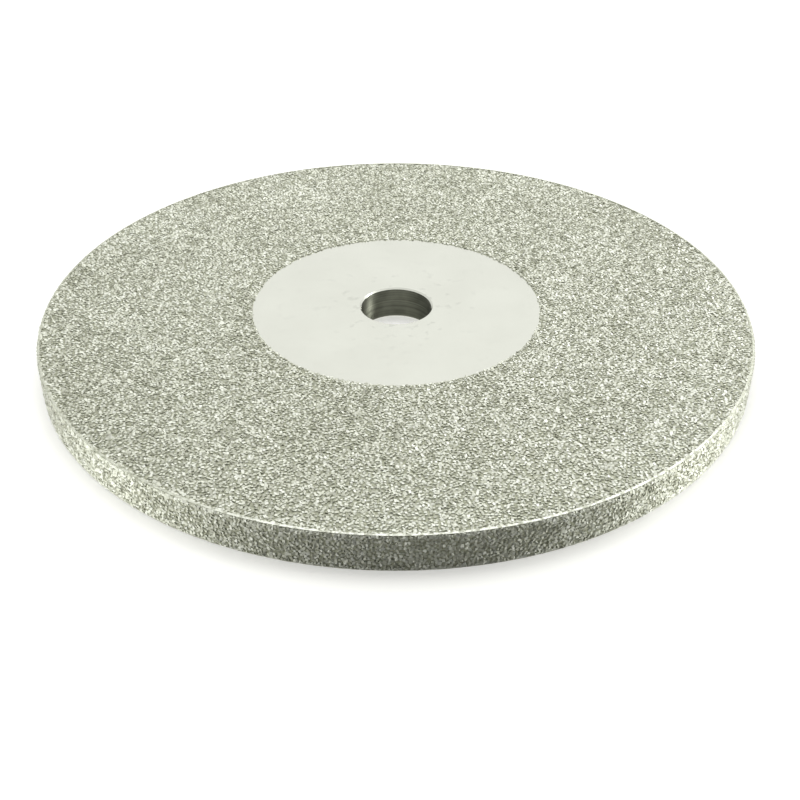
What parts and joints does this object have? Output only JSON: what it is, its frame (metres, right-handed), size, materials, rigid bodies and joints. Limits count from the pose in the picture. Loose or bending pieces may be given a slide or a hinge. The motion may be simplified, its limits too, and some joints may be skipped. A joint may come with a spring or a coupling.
{
  "type": "diamond lapidary disc",
  "caption": "Round flat steel disc with a plated layer of coarse diamond grit on its faces and rim, a bare centre and an arbor bore, for grinding stone and glass.",
  "frame": {"origin": "on the bore's axis, at the level of the diamond layer that the disc rests on", "axes": "+Z along the bore's axis, out of the upper face; X and Y lie in the disc's plane and are alike"},
  "size_m": [0.1, 0.1, 0.0053],
  "materials": {
    "turned_steel": "satin turned faces, pale and clean, with faint turning rings in the bore",
    "diamond_grit": "rough sparkling grey, coarse diamond grit half sunk in matt nickel"
  },
  "bodies": {
    "root": {"steel_blank": "turned_steel", "diamond_layer": "diamond_grit"}
  },
  "joints": []
}
